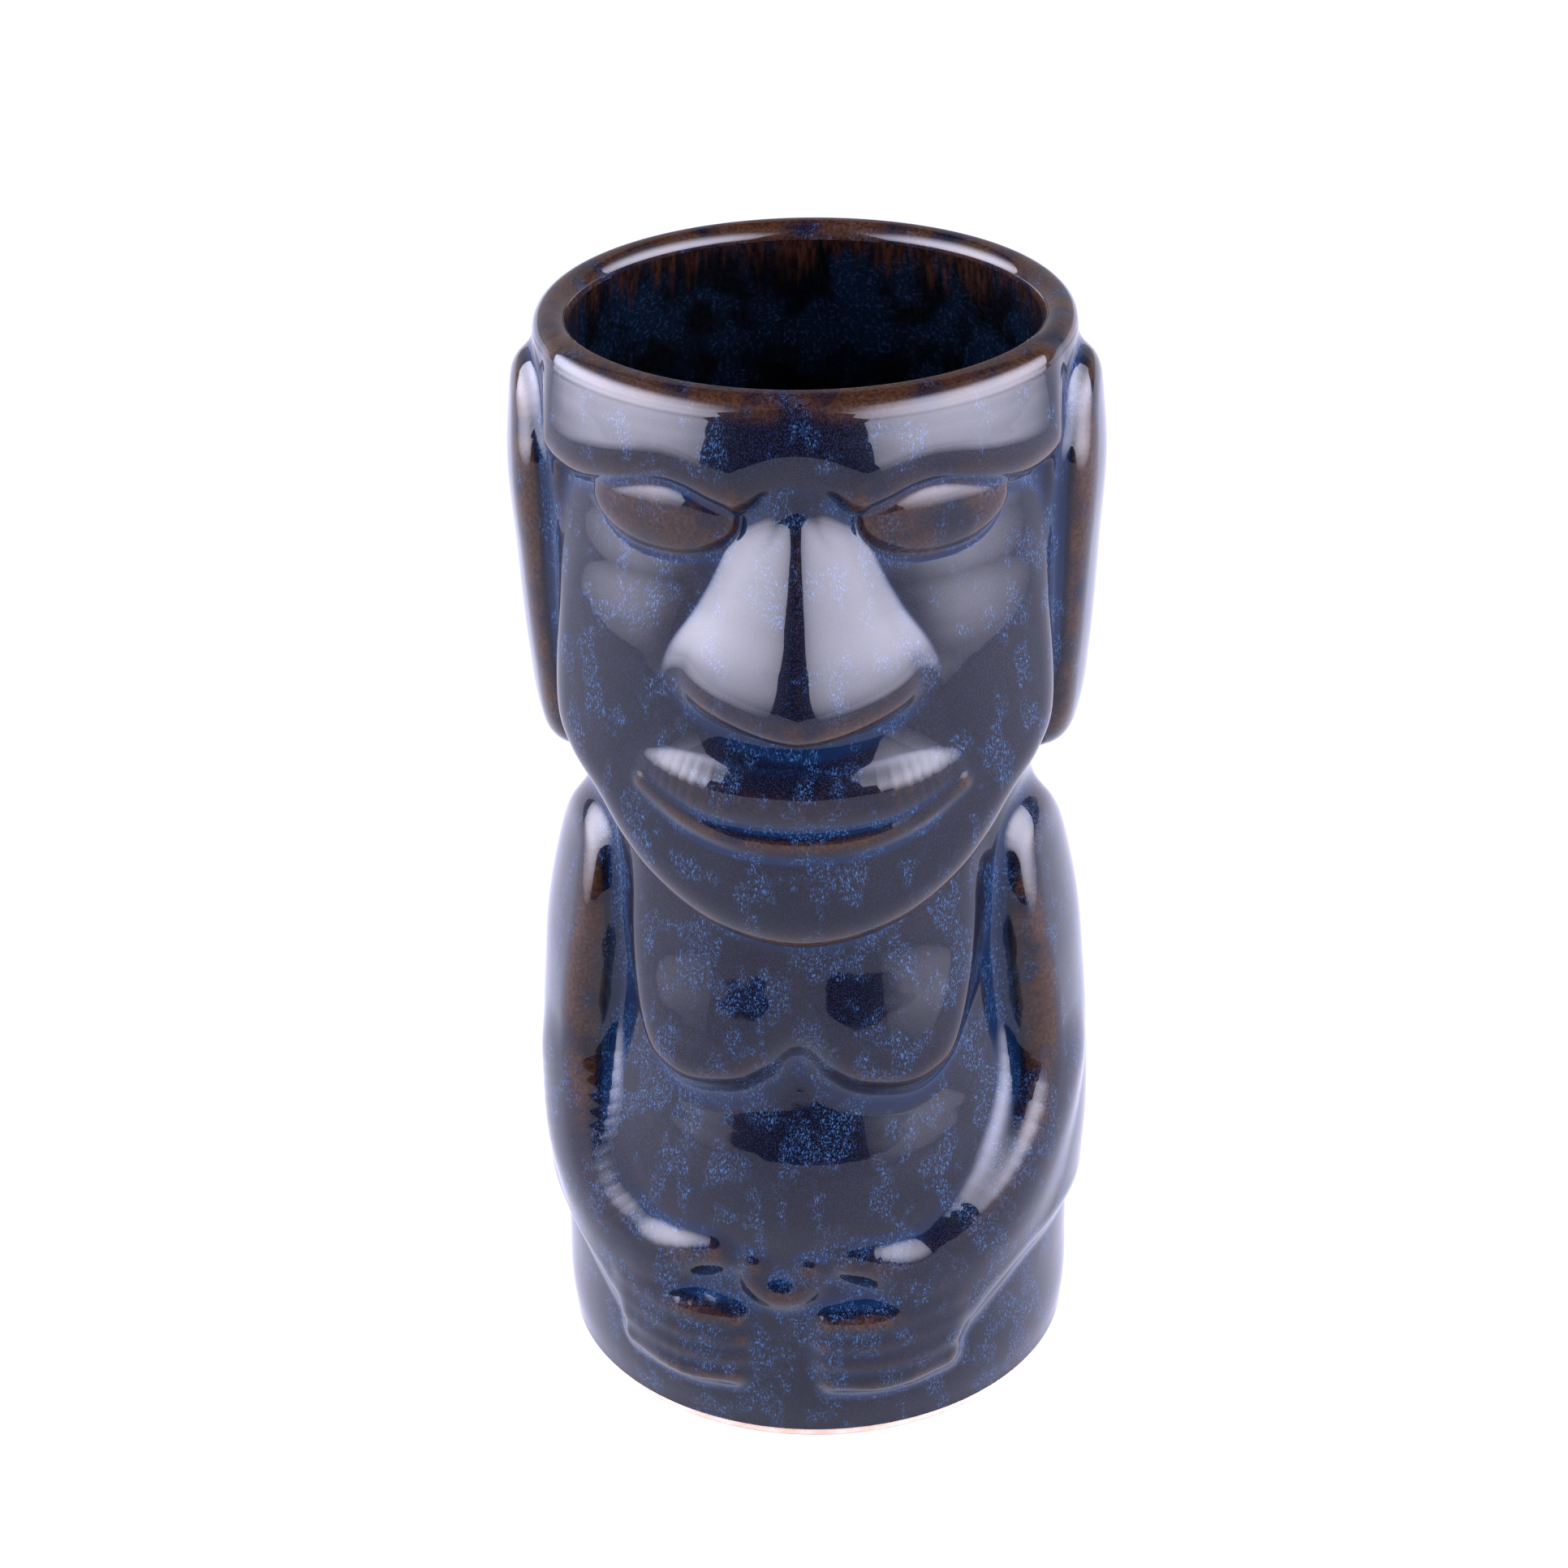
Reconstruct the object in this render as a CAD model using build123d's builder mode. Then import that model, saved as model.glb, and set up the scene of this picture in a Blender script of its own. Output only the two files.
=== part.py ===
"""Tiki mug: a slip-cast cup whose outside carries a carved head over a squat body with folded arms.

Frame: +Z up, origin at the centre of the foot on the table, the face looks along -Y, millimetres.
Left and right are the figure's own, so its left ear is on +X.
"""

import os

from build123d import *

# Cup, the round shell that every relief stands on
HEIGHT = 162.0
FOOT_RADIUS = 36.8
FOOT_CHAMFER = 0.6
FOOT_HEIGHT = 2.0
BASE_RADIUS = 38.0
BELLY_RADIUS = 37.2
NECK_RADIUS = 31.0
HEAD_RADIUS = 36.8
RIM_RADIUS = 36.5
NECK_HEIGHT = 91.0
FLOOR_TOP = 8.0
WALL = 4.4
LIP_RADIUS = 2.4
LINER = 0.5

# Sizes of the head relief
CHIN_BOTTOM = 87.0
BROW_HEIGHT = 152.5
BROW_SPAN = 150.0
EAR_TOP = 155.0
EAR_BOTTOM = 99.0
EYE_SPACING = 36.0
EYE_HEIGHT = 146.0
EYE_TILT = 9.0
NOSE_TOP = 147.5
NOSE_BOTTOM = 120.5
MOUTH_HEIGHT = 108.0

# Sizes of the body relief, which sits turned a little against the head
CHEST_TWIST = -1.5
ARM_TWIST = -6.0
CHEST_HEIGHT = 74.0
CHEST_SPACING = 24.0
SHOULDER_HEIGHT = 82.0
ELBOW_HEIGHT = 44.0
FOREARM_MIDDLE = (25.5, -19.5, 35.0)
FOREARM_OUTWARDS = (0.8, -0.6, 0)
FOREARM_RUN = (-16.0, -23.0, -15.0)
FOREARM_THICK = 8.0
FOREARM_WIDE = 8.5
FOREARM_LONG = 20.0
HAND_HEIGHT = 21.5
FINGERS = 4
FINGER_SPACING = 4.2
KNUCKLE_HEIGHT = 27.5
NAVEL_HEIGHT = 28.0

os.makedirs("parts", exist_ok=True)
CHEST_PLANE = Plane.XY.rotated((0, 0, CHEST_TWIST))
ARM_PLANE = Plane.XY.rotated((0, 0, ARM_TWIST))
BETWEEN_ARMS = Plane.YZ.rotated((0, 0, ARM_TWIST))


def write(piece, name):
    """Labels a finished sub-part and writes its STEP."""
    piece.part.label = name
    export_step(piece.part, f"parts/{name}.step")


def ellipsoid(across, deep, tall):
    """A ball stretched to three half sizes, centred on the origin."""
    with BuildPart() as ball:
        Sphere(1)
        scale(by=(across, deep, tall))
    return ball.part


def front_facing_plane(turn):
    """The upright half plane through the axis, turned by that many degrees from the front."""
    outwards = Vector(0, -1, 0).rotate(Axis.Z, turn)
    return Plane(origin=(0, 0, 0), x_dir=outwards, z_dir=outwards.rotate(Axis.Z, -90))


def lofted_ellipses(piece_plane, sections):
    """A solid through ellipses given as (height, centre x, centre y, half width, half depth)."""
    with BuildPart() as lofted:
        for height, centre_x, centre_y, half_width, half_depth in sections:
            with BuildSketch(piece_plane.offset(height)):
                with Locations((centre_x, centre_y)):
                    Ellipse(half_width, half_depth)
        loft()
    return lofted.part


def outer_wall():
    """The cup's outside line, from the foot up to the shoulder of the lip."""
    Line((0, FOOT_HEIGHT), (FOOT_RADIUS, FOOT_HEIGHT))
    Spline(
        (FOOT_RADIUS, FOOT_HEIGHT),
        (BASE_RADIUS, FOOT_HEIGHT + 4),
        (BASE_RADIUS, 16),
        (BELLY_RADIUS, 40),
        (BELLY_RADIUS - 1.2, 60),
        (NECK_RADIUS + 1.8, 80),
        (NECK_RADIUS, NECK_HEIGHT),
        (NECK_RADIUS + 2.2, 100),
        (HEAD_RADIUS - 0.8, 116),
        (HEAD_RADIUS, 138),
        (RIM_RADIUS, HEIGHT - LIP_RADIUS),
    )


def inner_wall(gap):
    """The cavity's line, from the lip down to the floor's centre, moved outwards by gap."""
    top = HEIGHT - LIP_RADIUS
    Spline(
        (RIM_RADIUS - 2 * LIP_RADIUS + gap, top),
        (HEAD_RADIUS - WALL + gap, 138),
        (HEAD_RADIUS - 0.8 - WALL + gap, 116),
        (NECK_RADIUS + 1.9 - WALL + gap, 100),
        (NECK_RADIUS - WALL + gap, NECK_HEIGHT),
        (NECK_RADIUS + 1.8 - WALL + gap, 80),
        (BELLY_RADIUS - 1.2 - WALL + gap, 60),
        (BELLY_RADIUS - WALL + gap, 40),
        (BASE_RADIUS - WALL + gap, 20),
        (BASE_RADIUS - WALL - 4 + gap, FLOOR_TOP + 2 - gap),
        (0, FLOOR_TOP - gap),
        tangents=((0, -1), (-1, 0)),
    )


LIP_OUTSIDE = (RIM_RADIUS, HEIGHT - LIP_RADIUS)
LIP_TOP = (RIM_RADIUS - LIP_RADIUS, HEIGHT)
LIP_INSIDE = (RIM_RADIUS - 2 * LIP_RADIUS, HEIGHT - LIP_RADIUS)

with BuildPart() as cup_body:
    with BuildSketch(Plane.YZ):
        with BuildLine():
            outer_wall()
            ThreePointArc(LIP_OUTSIDE, LIP_TOP, LIP_INSIDE)
            Line(LIP_INSIDE, (LIP_INSIDE[0] + LINER, LIP_INSIDE[1]))
            inner_wall(LINER)
            Line((0, FLOOR_TOP - LINER), (0, FOOT_HEIGHT))
        make_face()
    revolve(axis=Axis.Z)

with BuildPart() as liner_glaze:
    with BuildSketch(Plane.YZ):
        with BuildLine():
            inner_wall(0)
            Line((0, FLOOR_TOP), (0, FLOOR_TOP - LINER))
            inner_wall(LINER)
            Line((LIP_INSIDE[0] + LINER, LIP_INSIDE[1]), LIP_INSIDE)
        make_face()
    revolve(axis=Axis.Z)

with BuildPart() as bare_foot:
    with BuildSketch():
        Circle(FOOT_RADIUS)
    extrude(amount=FOOT_HEIGHT)
    chamfer(bare_foot.edges().group_by(Axis.Z)[0], length=FOOT_CHAMFER)

# The cup with its cavity filled, which is cut from every relief so that it ends on the wall
with BuildPart() as filled_cup:
    with BuildSketch(Plane.YZ):
        with BuildLine():
            outer_wall()
            ThreePointArc(LIP_OUTSIDE, LIP_TOP, LIP_INSIDE)
            Line(LIP_INSIDE, (0, LIP_INSIDE[1]))
            Line((0, LIP_INSIDE[1]), (0, FOOT_HEIGHT))
        make_face()
    revolve(axis=Axis.Z)

# Head relief
with BuildPart() as face_mask:
    add(
        lofted_ellipses(
            Plane.XY,
            (
                (CHIN_BOTTOM, 0, -31.0, 11.0, 6.0),
                (CHIN_BOTTOM + 3, 0, -28.5, 18.5, 13.0),
                (CHIN_BOTTOM + 10, 0, -20.5, 26.5, 22.5),
                (CHIN_BOTTOM + 22, 0, -9.5, 33.0, 33.5),
                (CHIN_BOTTOM + 40, 0, -4.5, 35.5, 35.5),
                (BROW_HEIGHT - 1.5, 0, -1.5, 36.4, 36.7),
            ),
        )
    )
    add(filled_cup.part, mode=Mode.SUBTRACT)

with BuildPart() as brow_band:
    with BuildSketch(front_facing_plane(-BROW_SPAN / 2)):
        with Locations((HEAD_RADIUS - 1.0, BROW_HEIGHT)):
            Ellipse(4.0, 5.0)
    revolve(axis=Axis.Z, revolution_arc=BROW_SPAN)
    add(filled_cup.part, mode=Mode.SUBTRACT)
    add(face_mask.part, mode=Mode.SUBTRACT)

with BuildPart() as nose:
    add(
        lofted_ellipses(
            Plane.XY,
            (
                (NOSE_BOTTOM, 0, -38.5, 11.0, 5.0),
                (NOSE_BOTTOM + 2.5, 0, -38.5, 15.5, 8.5),
                (NOSE_BOTTOM + 6, 0, -38.5, 14.5, 9.0),
                (NOSE_BOTTOM + 14, 0, -38.0, 8.0, 7.0),
                (NOSE_TOP, 0, -37.0, 4.5, 4.0),
            ),
        )
    )
    for neighbour in (filled_cup, face_mask, brow_band):
        add(neighbour.part, mode=Mode.SUBTRACT)

with BuildPart() as eye_left:
    with Locations(Location((EYE_SPACING / 2, -32.2, EYE_HEIGHT), (0, -EYE_TILT, EYE_SPACING / 2))):
        add(ellipsoid(8.5, 4.2, 3.6))
    for neighbour in (filled_cup, face_mask, brow_band, nose):
        add(neighbour.part, mode=Mode.SUBTRACT)
with BuildPart() as eye_right:
    add(mirror(eye_left.part, about=Plane.YZ))

with BuildPart() as upper_lip:
    with Locations((0, -34.0, MOUTH_HEIGHT + 4.5)):
        add(ellipsoid(20.5, 12.0, 5.0))
    for neighbour in (filled_cup, face_mask, nose):
        add(neighbour.part, mode=Mode.SUBTRACT)

with BuildPart() as lower_lip:
    with Locations((0, -34.0, MOUTH_HEIGHT - 3.0)):
        add(ellipsoid(18.5, 11.8, 3.7))
    for neighbour in (filled_cup, face_mask, upper_lip):
        add(neighbour.part, mode=Mode.SUBTRACT)

with BuildPart() as ear_left:
    add(
        lofted_ellipses(
            Plane.XY,
            (
                (EAR_BOTTOM, 31.5, -0.5, 2.2, 4.0),
                (EAR_BOTTOM + 6, 33.2, -0.5, 4.4, 6.5),
                (EAR_BOTTOM + 22, 34.8, -0.5, 4.5, 8.5),
                (EAR_TOP - 12, 35.8, -0.5, 4.7, 9.5),
                (EAR_TOP - 4, 35.4, -0.5, 4.0, 7.8),
                (EAR_TOP, 35.0, -0.5, 1.8, 3.5),
            ),
        )
    )
    for neighbour in (filled_cup, face_mask, brow_band):
        add(neighbour.part, mode=Mode.SUBTRACT)
with BuildPart() as ear_right:
    add(mirror(ear_left.part, about=Plane.YZ))

# Body relief
with BuildPart() as chest:
    for across, half_width in ((-CHEST_SPACING / 2, 16.5), (CHEST_SPACING / 2, 16.5), (0, 12.0)):
        with Locations(CHEST_PLANE * Location((across, -28.0, CHEST_HEIGHT))):
            add(ellipsoid(half_width, 9.0, half_width * 0.6 + 3.5))
    for neighbour in (filled_cup, face_mask):
        add(neighbour.part, mode=Mode.SUBTRACT)

with BuildPart() as hand_left:
    with Locations(ARM_PLANE * Location((16.0, -30.5, HAND_HEIGHT + 2), (0, 20, 25))):
        add(ellipsoid(12.0, 7.6, 8.5))
    for finger in range(FINGERS):
        drop = finger * FINGER_SPACING
        with Locations(ARM_PLANE * Location((10.5, -35.0, KNUCKLE_HEIGHT - drop), (0, 15, 12))):
            add(ellipsoid(6.5, 3.4, 2.3))
    add(filled_cup.part, mode=Mode.SUBTRACT)

with BuildPart() as arm_left:
    add(
        lofted_ellipses(
            ARM_PLANE,
            (
                (ELBOW_HEIGHT - 8, 32.5, -6.0, 5.5, 7.5),
                (ELBOW_HEIGHT, 33.4, -5.5, 7.0, 11.0),
                (ELBOW_HEIGHT + 18, 33.0, -4.5, 6.8, 11.5),
                (SHOULDER_HEIGHT - 8, 32.0, -3.5, 6.2, 10.5),
                (SHOULDER_HEIGHT + 2, 30.5, -3.0, 5.2, 7.5),
                (SHOULDER_HEIGHT + 6, 30.0, -3.0, 2.5, 3.5),
            ),
        )
    )
    forearm_plane = Plane(origin=FOREARM_MIDDLE, x_dir=FOREARM_OUTWARDS, z_dir=FOREARM_RUN)
    with Locations(ARM_PLANE * forearm_plane.location):
        add(ellipsoid(FOREARM_THICK, FOREARM_WIDE, FOREARM_LONG))
    for neighbour in (filled_cup, chest, hand_left, ear_left):
        add(neighbour.part, mode=Mode.SUBTRACT)

with BuildPart() as hand_right:
    add(mirror(hand_left.part, about=BETWEEN_ARMS))
with BuildPart() as arm_right:
    add(mirror(arm_left.part, about=BETWEEN_ARMS))

with BuildPart() as navel:
    with Locations(ARM_PLANE * Location((0, -36.5, NAVEL_HEIGHT))):
        add(ellipsoid(5.0, 3.0, 3.6))
    for neighbour in (filled_cup, hand_left, hand_right):
        add(neighbour.part, mode=Mode.SUBTRACT)

for name, piece in {
    "cup_body": cup_body,
    "liner_glaze": liner_glaze,
    "bare_foot": bare_foot,
    "face_mask": face_mask,
    "brow_band": brow_band,
    "nose": nose,
    "eye_left": eye_left,
    "eye_right": eye_right,
    "upper_lip": upper_lip,
    "lower_lip": lower_lip,
    "ear_left": ear_left,
    "ear_right": ear_right,
    "chest": chest,
    "arm_left": arm_left,
    "arm_right": arm_right,
    "hand_left": hand_left,
    "hand_right": hand_right,
    "navel": navel,
}.items():
    write(piece, name)
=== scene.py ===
"""Looks for the tiki mug: a glazed ceramic cup with a carved head, chest, folded arms and hands.

The outside is sculpted as one signed-distance field, so the glaze runs smoothly over every crease. The skin
is then cut along the creases into closed pieces, each standing for its CAD node. The sculpting code works in
millimetres in the CAD frame (+Z up, the face looks along -Y) and the meshes are made in metres.
"""

import math

import bpy
import numpy as np
from mathutils import Matrix, Vector


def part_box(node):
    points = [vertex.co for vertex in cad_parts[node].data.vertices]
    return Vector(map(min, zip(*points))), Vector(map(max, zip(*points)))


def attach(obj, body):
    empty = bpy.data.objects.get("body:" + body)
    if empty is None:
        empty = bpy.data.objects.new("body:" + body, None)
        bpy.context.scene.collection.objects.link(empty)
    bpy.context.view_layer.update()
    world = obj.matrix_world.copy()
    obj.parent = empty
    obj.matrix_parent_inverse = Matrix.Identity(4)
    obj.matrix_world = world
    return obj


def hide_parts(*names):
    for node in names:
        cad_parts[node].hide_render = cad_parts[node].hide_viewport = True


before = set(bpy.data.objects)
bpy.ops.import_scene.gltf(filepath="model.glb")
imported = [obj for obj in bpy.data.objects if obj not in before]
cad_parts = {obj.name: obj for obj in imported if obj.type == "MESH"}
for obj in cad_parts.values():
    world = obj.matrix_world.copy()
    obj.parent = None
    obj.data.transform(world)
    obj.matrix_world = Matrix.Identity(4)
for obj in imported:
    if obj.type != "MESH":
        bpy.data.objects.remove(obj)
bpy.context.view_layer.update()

MM = 0.001
MARGIN = 8.0          # how far round a primitive its field is worked out, in mm
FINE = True


def box_mm(node):
    """Lowest and highest corner of a CAD node, in mm."""
    low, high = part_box(node)
    return np.array(low) / MM, np.array(high) / MM


def middle(node):
    low, high = box_mm(node)
    return (low + high) / 2


# ---------------------------------------------------------------- driving places, from the CAD boxes
TOP = box_mm("cup_body")[1][2]
GLAZE_END = box_mm("bare_foot")[1][2]
FOOT_RADIUS = box_mm("bare_foot")[1][0]
LINER_TOP = box_mm("liner_glaze")[1][2]
FLOOR = 8.0                                # height of the inside floor
CORNER = 6.0                               # radius where the inside wall turns into the floor
LIP = TOP - LINER_TOP                      # radius of the rounded lip
LIP_MIDDLE = 34.1
WALL = 4.4
LINER = 0.5
SKIN = 0.9                                 # least thickness of a cut-off piece

CHIN = box_mm("face_mask")[0][2]
BROW = middle("brow_band")[2]
EYE = middle("eye_left")[2]
NOSE_UNDER = box_mm("nose")[0][2] - 3.4    # the nose and the lips hang a little lower than their CAD solids
MOUTH = box_mm("upper_lip")[0][2] - 2.6


# ---------------------------------------------------------------- curves
def smooth_knots(knots, count=400):
    """Dense samples of a smooth curve through (position, value) knots."""
    knots = np.array(sorted(knots), float)
    position, value = knots[:, 0], knots[:, 1]
    slope = np.gradient(value, position)
    at = np.linspace(position[0], position[-1], count)
    span = np.clip(np.searchsorted(position, at, side="right") - 1, 0, len(position) - 2)
    width = position[span + 1] - position[span]
    t = (at - position[span]) / width
    rise = (2 * t**3 - 3 * t**2 + 1) * value[span] + (t**3 - 2 * t**2 + t) * width * slope[span]
    fall = (-2 * t**3 + 3 * t**2) * value[span + 1] + (t**3 - t**2) * width * slope[span + 1]
    return at, rise + fall


def spline(padded, steps):
    """Points along a Catmull-Rom curve, whose first and last rows only steer it."""
    rows = []
    for a, b, c, d in zip(padded, padded[1:], padded[2:], padded[3:]):
        for t in np.arange(steps) / steps:
            bend = (2 * a - 5 * b + 4 * c - d) * t**2 + (3 * b - a - 3 * c + d) * t**3
            rows.append(0.5 * (2 * b + (c - a) * t + bend))
    return np.array(rows)


def smooth_path(points, steps=6):
    points = np.array(points, float)
    padded = np.vstack((2 * points[0] - points[1], points, 2 * points[-1] - points[-2]))
    return np.vstack((spline(padded, steps), points[-1:]))


def smooth_loop(points, steps=5):
    points = np.array(points, float)
    return spline(np.vstack((points[-1:], points, points[:2])), steps)


# ---------------------------------------------------------------- distance fields
def union(a, b, blend):
    """The nearer of two fields, melted together over the blend width."""
    overlap = np.maximum(blend - np.abs(a - b), 0) / blend
    return np.minimum(a, b) - overlap**2 * blend / 4


def carve(a, b, blend):
    """Field a with the shape of field b taken out of it."""
    return -union(-a, b, blend)


def overlap(a, b, blend):
    """What two shapes have in common, with its edge rounded over the blend width."""
    return -union(-a, -b, blend)


def ramp(x, start, end):
    """0 before start, 1 after end, smooth between."""
    t = np.clip((x - start) / (end - start), 0, 1)
    return t * t * (3 - 2 * t)


def near(points, low, high):
    """Which points lie in a box grown by the margin."""
    return np.all((points > low - MARGIN) & (points < high + MARGIN), axis=1)


def ellipsoid(points, centre, radii, tilt=0.0, turn=0.0):
    """A stretched ball. tilt turns it about Y and turn about Z, in degrees."""
    centre = np.array(centre, float)
    radii = np.array(radii, float)
    field = np.full(len(points), MARGIN)
    reach = radii.max()
    inside = near(points, centre - reach, centre + reach)
    local = points[inside] - centre
    spin = Matrix.Rotation(math.radians(turn), 3, "Z") @ Matrix.Rotation(math.radians(tilt), 3, "Y")
    local = local @ np.array(spin)
    scaled = np.linalg.norm(local / radii, axis=1)
    steep = np.linalg.norm(local / radii**2, axis=1)
    field[inside] = np.minimum(scaled * (scaled - 1) / np.maximum(steep, 1e-6), MARGIN)
    return field


def tube(points, route, steps=5):
    """A round tube along rows of (x, y, z, radius)."""
    path = smooth_path(route, steps)
    line, thick = path[:, :3], path[:, 3]
    spread = thick.max()
    inside = near(points, line.min(0) - spread, line.max(0) + spread)
    local = points[inside]
    nearest = np.full(len(local), 1e9)
    for a, b, thin, fat in zip(line[:-1], line[1:], thick[:-1], thick[1:]):
        run = b - a
        along = np.clip((local - a) @ run / (run @ run), 0, 1)
        away = np.linalg.norm(local - a - along[:, None] * run, axis=1) - (thin + along * (fat - thin))
        nearest = np.minimum(nearest, away)
    field = np.full(len(points), MARGIN)
    field[inside] = np.minimum(nearest, MARGIN)
    return field


def twisted(points, degrees):
    """The points as seen from a frame turned about the upright axis."""
    c, s = np.cos(np.radians(degrees)), np.sin(np.radians(degrees))
    turned = points.copy()
    turned[:, 0] = points[:, 0] * c + points[:, 1] * s
    turned[:, 1] = points[:, 1] * c - points[:, 0] * s
    return turned


def mirrored(route, side):
    """A route or point with its x times side."""
    return [(side * row[0], *row[1:]) for row in route]


def around(angle, height, reach, *rest):
    """A place on the mug from its angle off the front in degrees, its height and its reach from the axis."""
    turn = math.radians(angle)
    return (reach * math.sin(turn), -reach * math.cos(turn), height, *rest)


def polar(points):
    """Angle off the front in degrees and distance from the axis."""
    return np.degrees(np.arctan2(points[:, 0], -points[:, 1])), np.hypot(points[:, 0], points[:, 1])


# ---------------------------------------------------------------- outlines on the unrolled surface
def outline_map(corners):
    """Signed distances round a smooth closed line through (degrees, height) corners, negative inside."""
    loop = smooth_loop(corners) * (UNROLL, 1)
    low, high = loop.min(0) - MARGIN, loop.max(0) + MARGIN
    across, up = (np.arange(a, b + MAP_STEP, MAP_STEP) for a, b in zip(low, high))
    places = np.stack(np.meshgrid(across, up), -1).reshape(-1, 2)
    nearest = np.full(len(places), 1e9)
    inside = np.zeros(len(places), bool)
    for a, b in zip(loop, np.roll(loop, -1, axis=0)):
        run = b - a
        along = np.clip((places - a) @ run / (run @ run), 0, 1)
        nearest = np.minimum(nearest, np.linalg.norm(places - a - along[:, None] * run, axis=1))
        between = (a[1] > places[:, 1]) != (b[1] > places[:, 1])
        if a[1] != b[1]:
            inside ^= between & (places[:, 0] < a[0] + (places[:, 1] - a[1]) * run[0] / run[1])
    return low, np.where(inside, -nearest, nearest).reshape(len(up), len(across))


def read_map(outline, angle, height):
    """The outline's distance at places on the surface, smoothly between the map's grid points."""
    low, table = outline
    field = np.full(len(angle), MARGIN)
    u = (angle * UNROLL - low[0]) / MAP_STEP
    v = (height - low[1]) / MAP_STEP
    known = (u >= 1) & (v >= 1) & (u < table.shape[1] - 2) & (v < table.shape[0] - 2)
    u, v = u[known], v[known]
    column, row = u.astype(int), v.astype(int)
    total = np.zeros(len(u))
    for j, down in enumerate(spline_weights(v - row)):
        for i, side in enumerate(spline_weights(u - column)):
            total += down * side * table[row + j - 1, column + i - 1]
    field[known] = np.minimum(total, MARGIN)
    return field


def spline_weights(t):
    return (1 - t) ** 3 / 6, (3 * t**3 - 6 * t**2 + 4) / 6, (-3 * t**3 + 3 * t**2 + 3 * t + 1) / 6, t**3 / 6


UNROLL = 0.65         # mm of surface for each degree round the mug
MAP_STEP = 0.5


def plaque(points, outline, radius, edge, mirror=False):
    """A raised patch inside an outline. radius(angle, height) is its face, edge its rounding."""
    angle, reach = polar(points)
    if mirror:
        angle = np.abs(angle)
    flat = read_map(outline, angle, points[:, 2])
    inside = flat < MARGIN
    field = np.full(len(points), MARGIN)
    face = reach[inside] - radius(angle[inside], points[inside, 2])
    field[inside] = np.minimum(overlap(face, flat[inside], edge), MARGIN)
    return field


def by_height(*knots):
    """A radius that depends on the height alone."""
    heights, radii = smooth_knots(knots)
    return lambda angle, z: np.interp(z, heights, radii)


# ---------------------------------------------------------------- the cup
PROFILE = smooth_knots(
    (
        (-10, 37.6), (GLAZE_END, 37.5), (6, 37.9), (16, 37.9), (32, 37.9), (40, 37.9), (44, 37.3), (48, 36.2),
        (52, 34.9), (56, 33.6), (60, 32.5), (64, 31.9), (69, 31.7), (76, 31.7), (88, 31.4), (95, 31.6),
        (103, 33.6), (114, 35.6), (127, 36.6), (142, 36.8), (154, 36.7), (TOP, LIP_MIDDLE + LIP),
        (TOP + 12, LIP_MIDDLE + LIP),
    )
)
BELLY_SWELL = 1.5
BELLY_SPREAD = 24


def wall_radius(z):
    return np.interp(z, *PROFILE)


def cup_field(points):
    """The plain cup: a turned wall with a slight belly, whose top ends in a round lip."""
    angle, reach = polar(points)
    z = points[:, 2]
    slope = wall_radius(z + 0.5) - wall_radius(z - 0.5)
    belly = BELLY_SWELL * np.exp(-((angle / BELLY_SPREAD) ** 2)) * ramp(z, 28, 44) * (1 - ramp(z, 58, 72))
    wall = (reach - wall_radius(z) - belly) / np.sqrt(1 + slope**2)
    wall = np.maximum(wall, np.minimum(LIP_MIDDLE - LIP, wall_radius(z) - WALL) - reach)
    lip = np.hypot(reach - LIP_MIDDLE, z - LINER_TOP) - LIP
    return np.where(z > LINER_TOP, lip, wall)


# ---------------------------------------------------------------- the head
CHEEK = by_height(
    (84, 41), (92, 41), (100, 41.2), (108, 41.1), (116, 40.6), (123, 39.8), (130, 38.5), (136, 37.2),
    (142, 35.7), (148, 34.5), (154, 34.0),
)
CHIN_PUSH = by_height((84, 3.4), (88, 3.4), (94, 3.3), (98, 2.5), (104, 1.0), (112, 0), (120, 0), (160, 0))
CHIN_SPREAD = 24
HOLLOW_DEPTH = 1.5          # of the dips beside the nose
HOLLOW_ANGLE = 17
HOLLOW_SPREAD = 11
RECESS_CLEAR = 1.8          # how far the lower end of the recess stays off the cheeks

FACE_EDGE = (
    (0, CHIN - 1.9), (9.5, 85.7), (19, 87.2), (27, 89.6), (34.5, 92.8), (40.5, 96.6), (47, 101.5),
    (54.5, 105.5), (60.5, 111), (62.5, 122), (62.5, 136), (63, 148), (55, 156), (0, 158),
)
FACE_OUTLINE = outline_map(list(FACE_EDGE) + mirrored(FACE_EDGE[-2:0:-1], -1))
RECESS_OUTLINE = outline_map(
    ((7, 127), (6, 140), (6.5, 152), (35, 155), (60, 153), (62, 147), (60, 127), (35, 122))
)
BROW_EDGE = (
    (0, BROW - 3.4), (5, BROW - 4.2), (11, BROW - 6.6), (17, BROW - 5.8), (27, BROW - 4.0), (40, BROW - 5.6),
    (52, BROW - 6.8), (63, BROW - 5.5), (67, BROW), (69, TOP - 3), (66, TOP + 6), (50, TOP + 12),
    (0, TOP + 12),
)
BROW_OUTLINE = outline_map(list(BROW_EDGE) + mirrored(BROW_EDGE[-2:0:-1], -1))
BROW_FACE = by_height(
    (142, 40.5), (145, 40.3), (148, 39.9), (151, 39.4), (154, 38.7), (157, 37.8), (159, 37.0), (160.5, 36.2),
    (161.3, 35.3), (162, 33.4), (164, 28), (170, 15),
)
EAR_OUTLINE = outline_map(
    (
        (68, 148), (73, 155), (86, 157.5), (97, 153), (101, 140), (100, 122), (97, 110), (88, 101.5),
        (76, 99.5), (67, 103), (64, 112), (65, 130), (66, 142),
    )
)
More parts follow.
